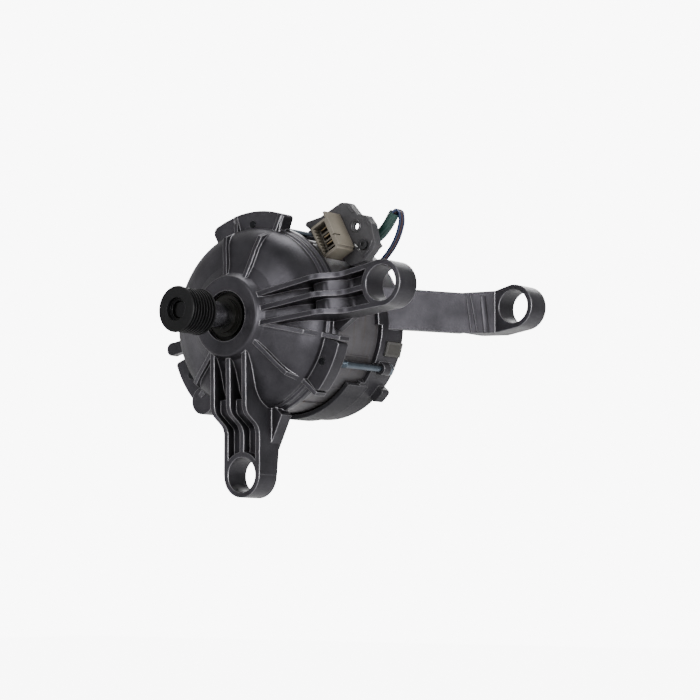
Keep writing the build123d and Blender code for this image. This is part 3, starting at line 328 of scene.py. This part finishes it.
def lay_bead(mesh, start, end, width, depth, height, up):
    """A rounded bar from start to end, raised by height along up, with its foot sunk by depth."""
    start, end, up = Vector(start), Vector(end), Vector(up).normalized()
    run = (end - start).normalized()
    side = up.cross(run)
    bar = bmesh.ops.create_cube(mesh, size=1.0)["verts"]
    sides = list({edge for vert in bar for edge in vert.link_edges})
    bmesh.ops.scale(mesh, vec=((end - start).length, width, height + depth), verts=bar)
    rounded = bmesh.ops.bevel(
        mesh, geom=sides, offset=min(width, height + depth) * bead_round, offset_type="OFFSET",
        affect="EDGES", segments=3, profile=0.5, material=-1,
    )
    bar = list({vert for face in rounded["faces"] for vert in face.verts})
    turn = Matrix((run, side, up)).transposed()
    bmesh.ops.rotate(mesh, cent=(0.0, 0.0, 0.0), matrix=turn, verts=bar)
    bmesh.ops.translate(mesh, vec=(start + end) / 2 + up * (height - depth) / 2, verts=bar)


cast_tones = ((0.025, 0.0240, 0.0275), (0.046, 0.0440, 0.0502), (0.26, 0.255, 0.27))
cast_metallic = 0.85
cast_roughness = 0.37
cast_gleam = 0.3
cast_skin = {
    "grain_size": 0.0009, "grain_depth": 0.00010, "corner": 0.0010,
    "wear_and_highlight": 0.8, "hollow_shade": 0.30, "gleam": cast_gleam,
}
die_cast_grey, _ = finish(
    "die_cast_grey", *cast_tones, metallic=cast_metallic, roughness=cast_roughness, **cast_skin,
)
put_on(die_cast_grey, "front_shield")
turned_face, _ = finish(
    "turned_face", (0.070, 0.068, 0.074), (0.115, 0.112, 0.120), (0.22, 0.22, 0.23),
    metallic=0.95, roughness=0.30, grain_size=0.0010, grain_depth=0.000004,
    corner=0.0002, wear_and_highlight=0.4, hollow_shade=0.6, lines=0.0005,
)

shaft_place = (-0.098, -0.013)
eye_places = (
    ("front_pivot_eye", (0.0, 0.0), -0.0080, 0.0080),
    ("adjuster_eye", (-0.098, -0.1025), -0.0080, 0.0080),
    ("rear_pivot_eye", (0.0, 0.0), 0.1256, 0.1416),
)
eye_bore = 0.0100
eye_bevel = 0.0010
skin_t = 0.00006
for name, centre, front, back in eye_places:
    rims = bmesh.new()
    for face_y, inward in ((front, 1.0), (back, -1.0)):
        turn_ring(rims, [
            (eye_bore, face_y + inward * (eye_bevel - skin_t)),
            (eye_bore + eye_bevel - skin_t, face_y),
            (eye_bore + eye_bevel + skin_t, face_y + inward * skin_t),
            (eye_bore + skin_t, face_y + inward * (eye_bevel + skin_t)),
        ], centre)
    fit_piece(rims, name + "_turned_rims", turned_face)

boss_bore = 0.01442
boss_mouth = -0.0232
rim_t = 0.0001
rim_proud = 0.00002
rim_land = 0.0004
rim_lead_in = 0.0006
rim_depth = 0.0028
mouth = bmesh.new()
turn_ring(mouth, [
    (boss_bore - rim_t, boss_mouth + rim_lead_in),
    (boss_bore, boss_mouth + rim_proud),
    (boss_bore + rim_land, boss_mouth - rim_proud),
    (boss_bore, boss_mouth + rim_depth),
    (boss_bore - rim_t, boss_mouth + rim_depth),
], shaft_place)
fit_piece(mouth, "boss_mouth_turned_rim", turned_face)

# Rear shield: the brush side of the frame, the same alloy, with the long arm of the rear pivot
# eye. Two thin cast beads and a wider land cross the arm where the die parts, before its bend.
# Its skirt is painted darker and duller towards the bottom, as painted shade
# Painted shade: below these heights the rear shield fades to a dark tone
bottom_shade_starts, bottom_shade_full = -0.028, -0.056
bottom_shade_share = 0.80
bottom_shade_tone = (0.015, 0.0146, 0.0162, 1.0)
bottom_shade_metallic = 0.10
bottom_shade_gleam = 0.02


def fade_along(part, axis, starts, full, tone, share=1.0):
    """Turns a finish to another tone between two places along an axis, up to the given share.

    Returns the output that gives the place along the axis.
    """
    tree = part["tree"]
    place = tree.nodes.new("ShaderNodeTexCoord")
    split = tree.nodes.new("ShaderNodeSeparateXYZ")
    mask = tree.nodes.new("ShaderNodeMapRange")
    mask.inputs["From Min"].default_value = starts
    mask.inputs["From Max"].default_value = full
    mask.inputs["To Max"].default_value = share
    tone_mix = tree.nodes.new("ShaderNodeMix")
    tone_mix.data_type = "RGBA"
    tone_mix.inputs["B"].default_value = tone
    tree.links.new(place.outputs["Object"], split.inputs["Vector"])
    tree.links.new(split.outputs[axis], mask.inputs["Value"])
    tree.links.new(mask.outputs["Result"], tone_mix.inputs["Factor"])
    tree.links.new(part["tone"].outputs["Result"], tone_mix.inputs["A"])
    tree.links.new(tone_mix.outputs["Result"], part["shader"].inputs["Base Color"])
    return split.outputs[axis]


rear_cast_grey, rear_cast = finish(
    "rear_cast_grey", *cast_tones, metallic=cast_metallic, roughness=cast_roughness, **cast_skin,
)
height_in_frame = fade_along(rear_cast, "Z", bottom_shade_starts, bottom_shade_full, bottom_shade_tone, bottom_shade_share)
# Painted shade: metallic and gleam drop towards the bottom as well
for socket, above_shade, bottom_shaded in (
    ("Metallic", cast_metallic, bottom_shade_metallic),
    ("Specular IOR Level", cast_gleam, bottom_shade_gleam),
):
    dulled = rear_cast["tree"].nodes.new("ShaderNodeMapRange")
    dulled.inputs["From Min"].default_value = bottom_shade_starts
    dulled.inputs["From Max"].default_value = bottom_shade_full
    dulled.inputs["To Min"].default_value = above_shade
    dulled.inputs["To Max"].default_value = bottom_shaded
    rear_cast["tree"].links.new(height_in_frame, dulled.inputs["Value"])
    rear_cast["tree"].links.new(dulled.outputs["Result"], rear_cast["shader"].inputs[socket])
put_on(rear_cast_grey, "rear_shield")

arm_foot = Vector((-0.044, 0.0598, -0.00445))
arm_run = Vector((31.0, 65.0, 0.0)).normalized()
arm_out = Vector((arm_run.y, -arm_run.x, 0.0))
bead_half_height = 0.0112
bead_sunk = 0.0006
bead_proud = 0.0007
bead_width = 0.0013
land_width = 0.0040
arm_beads = bmesh.new()
for top_reach, foot_reach, width in (
    (0.0528, 0.0560, bead_width),
    (0.0556, 0.0602, bead_width),
    (0.0641, 0.0666, land_width),
):
    top = arm_foot + arm_run * top_reach + Vector((0.0, 0.0, bead_half_height))
    foot = arm_foot + arm_run * foot_reach - Vector((0.0, 0.0, bead_half_height))
    lay_bead(arm_beads, foot, top, width, bead_sunk, bead_proud, arm_out)
fit_piece(arm_beads, "rear_arm_beads", rear_cast_grey)

# Stator and armature cores: stacks of thin steel laminations under a dark baked varnish that has
# rusted a little. Shallow welds along the outside hold the stator's stack together
stack_grey, stack = finish(
    "stack_grey", (0.070, 0.067, 0.071), (0.125, 0.121, 0.130), (0.22, 0.21, 0.20),
    metallic=0.85, roughness=0.38, grain_size=0.0016, grain_depth=0.00008,
    corner=0.0003, wear_and_highlight=0.5, hollow_shade=0.5, gleam=0.3, lines=0.0010,
)
rust_streaks = (60.0, 700.0, 60.0)
rust_starts, rust_full = 0.52, 0.75
rust_share = 0.55
rust_tone = (0.075, 0.058, 0.044, 1.0)
rust_place = stack["tree"].nodes.new("ShaderNodeTexCoord")
rust_stretch = stack["tree"].nodes.new("ShaderNodeMapping")
rust_stretch.inputs["Scale"].default_value = rust_streaks
rust_patch = stack["tree"].nodes.new("ShaderNodeTexNoise")
rust_patch.inputs["Scale"].default_value = 1.0
rust_mask = stack["tree"].nodes.new("ShaderNodeMapRange")
rust_mask.inputs["From Min"].default_value = rust_starts
rust_mask.inputs["From Max"].default_value = rust_full
rust_mask.inputs["To Max"].default_value = rust_share
rust_mix = stack["tree"].nodes.new("ShaderNodeMix")
rust_mix.data_type = "RGBA"
rust_mix.inputs["B"].default_value = rust_tone
stack["tree"].links.new(rust_place.outputs["Object"], rust_stretch.inputs["Vector"])
stack["tree"].links.new(rust_stretch.outputs["Vector"], rust_patch.inputs["Vector"])
stack["tree"].links.new(rust_patch.outputs["Fac"], rust_mask.inputs["Value"])
stack["tree"].links.new(rust_mask.outputs["Result"], rust_mix.inputs["Factor"])
stack["tree"].links.new(stack["tone"].outputs["Result"], rust_mix.inputs["A"])
stack["tree"].links.new(rust_mix.outputs["Result"], stack["shader"].inputs["Base Color"])
put_on(stack_grey, "stator_core", "armature_core")

stack_r = 0.0515
stack_front = 0.0124
stack_back = 0.0494
weld_headings = (-24.0, -49.0, 66.0, 156.0, 246.0)
weld_width = 0.0016
weld_sunk = 0.0005
weld_proud = 0.00035
weld_seams = bmesh.new()
for heading in weld_headings:
    turned = math.radians(heading)
    out = Vector((math.cos(turned), 0.0, math.sin(turned)))
    foot = Vector((shaft_place[0], 0.0, shaft_place[1])) + out * stack_r
    front_end = foot + Vector((0.0, stack_front, 0.0))
    back_end = foot + Vector((0.0, stack_back, 0.0))
    lay_bead(weld_seams, front_end, back_end, weld_width, weld_sunk, weld_proud, out)
fit_piece(weld_seams, "stator_weld_seams", stack_grey)

# Field coils, armature winding and pick-up coil: enamelled copper wire, wound and then dipped in
# amber resin, so the turns show as fine ridges
enamelled_wire, _ = finish(
    "enamelled_wire", (0.17, 0.055, 0.022), (0.34, 0.12, 0.045), (0.42, 0.19, 0.08),
    metallic=0.8, roughness=0.34, grain_size=0.0006, grain_depth=0.00018,
    corner=0.0003, wear_and_highlight=0.3, hollow_shade=0.7, lines=0.0009,
)
put_on(enamelled_wire, "field_coil_top", "field_coil_bottom", "armature_windings", "sensor_coil")

# Slot liners and bearing cages: the liners are pressed board folded into the stator's slots, and
# the cages are moulded nylon that clips over the balls. Both are pale and dull
slot_board, _ = finish(
    "slot_board", (0.42, 0.37, 0.27), (0.55, 0.49, 0.38), (0.6, 0.55, 0.43),
    metallic=0.0, roughness=0.5, grain_size=0.0008, grain_depth=0.00004,
)
put_on(slot_board, "slot_liners", "front_bearing_cage", "rear_bearing_cage")

# Commutator: hard copper bars on a moulded hub that is pressed on the shaft. The bars were turned
# bright and then browned by the brushes
bar_copper, _ = finish(
    "bar_copper", (0.30, 0.115, 0.055), (0.52, 0.22, 0.11), (0.65, 0.36, 0.22),
    metallic=1.0, roughness=0.26, grain_size=0.0008, grain_depth=0.00002,
    corner=0.0002, wear_and_highlight=0.3, lines=0.0004,
)
put_on(bar_copper, "commutator_bars")
hub_moulding, _ = finish(
    "hub_moulding", (0.022, 0.020, 0.019), (0.036, 0.033, 0.031), (0.08, 0.075, 0.07),
    metallic=0.0, roughness=0.45, grain_size=0.0007, grain_depth=0.00006,
)
put_on(hub_moulding, "commutator_hub")

# Shaft, bearing rings, balls and springs: hardened steel, ground bright. The shaft is painted
# near black at its end, in the pulley's recess
ground_steel, steel = finish(
    "ground_steel", (0.26, 0.26, 0.27), (0.36, 0.36, 0.37), (0.4, 0.4, 0.42),
    metallic=1.0, roughness=0.20, grain_size=0.0030, grain_depth=0.000002,
    corner=0.0002, wear_and_highlight=0.3, hollow_shade=0.75, lines=0.0006,
)
shaft_end_starts, shaft_end_full = -0.0560, -0.0580
shaft_end_tone = (0.028, 0.028, 0.029, 1.0)
fade_along(steel, "Y", shaft_end_starts, shaft_end_full, shaft_end_tone)
put_on(
    ground_steel, "shaft", "front_bearing_inner_ring", "front_bearing_outer_ring",
    "front_bearing_balls", "rear_bearing_inner_ring", "rear_bearing_outer_ring",
    "rear_bearing_balls", "spring_washer", "brush_spring_right", "brush_spring_left",
)

# Brush springs: each presses its brush on the commutator from the cap. As the brush is pushed
# back, the coils close up against the cap. The wire is made a piece of its own
same_place = 0.000001
for side, way in (("right", 1.0), ("left", -1.0)):
    coils = bmesh.new()
    coils.from_mesh(nodes["brush_spring_" + side].data)
    bmesh.ops.remove_doubles(coils, verts=coils.verts, dist=same_place)
    spring = fit_piece(coils, "brush_spring_wire_" + side, ground_steel)
    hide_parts("brush_spring_" + side)
    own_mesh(spring)

# Pulley: grooved for a multi-rib belt, sintered iron blacked in hot oil. Its crests are painted
# a little lighter, partly polish from the belt and partly painted highlight
blacked_iron, _ = finish(
    "blacked_iron", (0.0022, 0.0022, 0.0024), (0.0055, 0.0055, 0.0060), (0.030, 0.030, 0.032),
    metallic=0.3, roughness=0.34, grain_size=0.0008, grain_depth=0.00003,
    corner=0.00025, wear_and_highlight=0.5, hollow_shade=0.6, gleam=0.22,
)
put_on(blacked_iron, "pulley")

# Slinger and bearing seals: black nitrile rubber with an olive bloom. The slinger is pushed on the
# shaft in the mouth of the boss, and the seals snap into the bearings' outer rings
black_nitrile, _ = finish(
    "black_nitrile", (0.0028, 0.0028, 0.0022), (0.0060, 0.0060, 0.0047), (0.020, 0.020, 0.016),
    metallic=0.0, roughness=0.42, grain_size=0.0010, grain_depth=0.00004,
    corner=0.0002, wear_and_highlight=0.4, hollow_shade=0.8, gleam=0.15,
)
put_on(black_nitrile, "slinger", "front_bearing_seals", "rear_bearing_seals")

# Through bolts: three long steel bolts that clamp both shields on the stack, zinc plated and
# passivated blue. Their rolled thread shows behind the front tabs, and the tips are painted
# dark where they sit in the holes of the tabs, as painted shade
plated_zinc, zinc = finish(
    "plated_zinc", (0.070, 0.090, 0.112), (0.140, 0.165, 0.195), (0.38, 0.41, 0.46),
    metallic=1.0, roughness=0.28, grain_size=0.0010, grain_depth=0.00002,
    corner=0.0003, wear_and_highlight=0.4, hollow_shade=0.7, lines=0.0007,
)
# Painted shade: the bolts' tips darken inside the holes of the tabs
tip_starts, tip_full = 0.0105, 0.0085
tip_tone = (0.020, 0.021, 0.023, 1.0)
fade_along(zinc, "Y", tip_starts, tip_full, tip_tone)
put_on(plated_zinc, "through_bolts")

bolt_circle = 0.056
bolt_headings = (91.5, 211.5, 331.5)
bolt_r = 0.0020
thread_root = 0.0001
thread_crest = 0.00022
thread_pitch = 0.0007
thread_foot = 0.0006
thread_turns = 18
turn_steps = 12
thread_from = 0.0119
for number, heading in enumerate(bolt_headings, start=1):
    turned = math.radians(heading)
    axis_x = shaft_place[0] + bolt_circle * math.cos(turned)
    axis_z = shaft_place[1] + bolt_circle * math.sin(turned)
    thread = bmesh.new()
    crest = [
        thread.verts.new((axis_x + bolt_r - thread_root, thread_from, axis_z)),
        thread.verts.new((axis_x + bolt_r + thread_crest, thread_from + thread_foot / 2, axis_z)),
        thread.verts.new((axis_x + bolt_r - thread_root, thread_from + thread_foot, axis_z)),
    ]
    flanks = [thread.edges.new((a, b)) for a, b in zip(crest, crest[1:] + crest[:1])]
    bmesh.ops.spin(
        thread, geom=crest + flanks, cent=(axis_x, 0.0, axis_z), axis=(0.0, 1.0, 0.0),
        dvec=(0.0, thread_pitch / turn_steps, 0.0),
        angle=2 * math.pi * thread_turns, steps=turn_steps * thread_turns,
    )
    bmesh.ops.holes_fill(thread, edges=thread.edges[:], sides=3)
    fit_piece(thread, "through_bolt_thread_%d" % number, plated_zinc)

# Terminal bracket and sensor cap: moulded in dark grey glass-filled nylon. The bracket has a
# collar round the hole for a cable tie and beads that stiffen its corners
tray_nylon, _ = finish(
    "tray_nylon", (0.026, 0.0255, 0.0275), (0.041, 0.040, 0.0435), (0.12, 0.12, 0.125),
    metallic=0.35, roughness=0.38, grain_size=0.0006, grain_depth=0.00008,
    corner=0.0005, wear_and_highlight=0.6, hollow_shade=0.6,
)
put_on(tray_nylon, "terminal_bracket", "sensor_cap")
bracket_face_y = 0.0318
bracket_out = (0.0, -1.0, 0.0)


def on_bracket(across, up):
    """A point of the bracket's front face, from its distances across and above the shaft."""
    return Vector((shaft_place[0] + across, bracket_face_y, shaft_place[1] + up))


collar_place = on_bracket(0.0516, 0.0536)
collar_hole_r = 0.0028
collar_crest_r = 0.0032
collar_r = 0.0036
collar_sunk = 0.0004
collar_shoulder = 0.0004
collar_proud = 0.0006
bracket_beads = bmesh.new()
turn_ring(bracket_beads, [
    (collar_hole_r, bracket_face_y + collar_sunk),
    (collar_hole_r, bracket_face_y - collar_shoulder),
    (collar_crest_r, bracket_face_y - collar_proud),
    (collar_r, bracket_face_y - collar_shoulder),
    (collar_r, bracket_face_y + collar_sunk),
], (collar_place.x, collar_place.z))
stiffener_width = 0.0010
stiffener_sunk = 0.0005
stiffener_proud = 0.0006
for start, end in (
    ((0.0632, 0.0445), (0.0608, 0.0392)),
    ((0.0606, 0.0389), (0.0565, 0.0352)),
    ((0.0455, 0.0662), (0.0493, 0.0618)),
    ((0.0590, 0.0566), (0.0612, 0.0530)),
):
    lay_bead(
        bracket_beads, on_bracket(*start), on_bracket(*end),
        stiffener_width, stiffener_sunk, stiffener_proud, bracket_out,
    )
fit_piece(bracket_beads, "bracket_collar_and_beads", tray_nylon)

# Bracket screw: a thread-forming steel screw with a square drive, blacked in an oxide bath. It
# holds the bracket on a post of the rear shield
black_oxide, _ = finish(
    "black_oxide", (0.022, 0.022, 0.024), (0.042, 0.042, 0.045), (0.12, 0.12, 0.125),
    metallic=0.8, roughness=0.36, grain_size=0.0008, grain_depth=0.00002,
    corner=0.0003, wear_and_highlight=0.4, hollow_shade=0.8,
)
put_on(black_oxide, "bracket_screw")

# Connector housing: moulded in natural cream nylon and snapped on the bracket. Small teeth inside
# its left wall key it, so that only its own plug goes in
cream_nylon, _ = finish(
    "cream_nylon", (0.080, 0.070, 0.055), (0.130, 0.116, 0.092), (0.26, 0.24, 0.20),
    metallic=0.0, roughness=0.42, grain_size=0.0008, grain_depth=0.00005,
    corner=0.0004, wear_and_highlight=0.6, hollow_shade=0.9,
)
put_on(cream_nylon, "connector_housing")
mouth_turn = math.radians(62.0)
mouth_middle = Vector((-0.0581, 0.0168, 0.033))
mouth_long = Vector((math.cos(mouth_turn), 0.0, -math.sin(mouth_turn)))
mouth_wide = Vector((math.sin(mouth_turn), 0.0, math.cos(mouth_turn)))
tooth_count = 8
tooth_pitch = 0.0022
left_wall = 0.0046
tooth_front = Vector((0.0, 0.0001, 0.0))
tooth_back = Vector((0.0, 0.0048, 0.0))
tooth_width = 0.0010
tooth_sunk = 0.0003
tooth_proud = 0.0008
key_teeth = bmesh.new()
for place in range(tooth_count):
    along = tooth_pitch * (place - (tooth_count - 1) / 2)
    foot = mouth_middle + mouth_long * along - mouth_wide * left_wall
    lay_bead(
        key_teeth, foot + tooth_front, foot + tooth_back,
        tooth_width, tooth_sunk, tooth_proud, mouth_wide,
    )
fit_piece(key_teeth, "connector_key_teeth", cream_nylon)

# Connector contacts: four flat tabs stamped from brass under a dull tin plate, pushed into the
# housing from behind until they snap in
tinned_brass, _ = finish(
    "tinned_brass", (0.20, 0.150, 0.085), (0.32, 0.25, 0.155), (0.52, 0.46, 0.34),
    metallic=0.9, roughness=0.34, grain_size=0.0008, grain_depth=0.00003,
    corner=0.0002, wear_and_highlight=0.4, hollow_shade=0.7,
)
put_on(tinned_brass, "connector_contacts")

# Brush holders: phenolic moulding in the rear shield's two windows, each with a dull brass cap
# that holds the brush and its spring in
phenolic, _ = finish(
    "phenolic", (0.022, 0.021, 0.020), (0.038, 0.036, 0.033), (0.10, 0.097, 0.09),
    metallic=0.1, roughness=0.42, grain_size=0.0007, grain_depth=0.00005,
    corner=0.0004, wear_and_highlight=0.5, hollow_shade=0.8,
)
put_on(phenolic, "brush_holder_right", "brush_holder_left")
dull_brass, _ = finish(
    "dull_brass", (0.034, 0.033, 0.031), (0.056, 0.054, 0.049), (0.14, 0.135, 0.12),
    metallic=0.7, roughness=0.42, grain_size=0.0009, grain_depth=0.00003,
    corner=0.0003, wear_and_highlight=0.4, hollow_shade=0.8,
)
put_on(dull_brass, "brush_cap_right", "brush_cap_left")
pressed_carbon, _ = finish(
    "pressed_carbon", (0.012, 0.012, 0.013), (0.024, 0.024, 0.025), (0.05, 0.05, 0.052),
    metallic=0.3, roughness=0.5, grain_size=0.0006, grain_depth=0.00005,
)
put_on(pressed_carbon, "brush_right", "brush_left")

# Sensor magnet: a black ferrite ring, pressed and fired, then glued on the shaft's rear end, where
# it turns inside the pick-up coil
ferrite, _ = finish(
    "ferrite", (0.028, 0.028, 0.031), (0.046, 0.046, 0.049), (0.09, 0.09, 0.095),
    metallic=0.3, roughness=0.55, grain_size=0.0008, grain_depth=0.00005,
)
put_on(ferrite, "sensor_magnet")

# Leads and sleeve: three PVC covered copper leads that come out of the rear shield, bundled by a
# sleeve that is pushed over them beside the bracket and bundles them
green_sleeving, _ = finish(
    "green_sleeving", (0.0018, 0.0135, 0.0105), (0.0034, 0.024, 0.019), (0.010, 0.050, 0.040),
    metallic=0.0, roughness=0.38, grain_size=0.0012, grain_depth=0.00012,
    corner=0.0002, wear_and_highlight=0.3, hollow_shade=0.5, lines=0.0011,
)
put_on(green_sleeving, "green_sleeve")
for colour, dark, light, wear_and_highlight_tone in (
    ("blue", (0.0015, 0.006, 0.026), (0.003, 0.012, 0.046), (0.012, 0.035, 0.10)),
    ("red", (0.012, 0.0018, 0.0022), (0.024, 0.003, 0.0035), (0.06, 0.015, 0.015)),
    ("navy", (0.003, 0.008, 0.034), (0.006, 0.014, 0.055), (0.02, 0.03, 0.09)),
):
    pvc, _ = finish(
        colour + "_pvc", dark, light, wear_and_highlight_tone,
        metallic=0.0, roughness=0.34, grain_size=0.0010, grain_depth=0.00004,
    )
    put_on(pvc, "lead_" + colour)
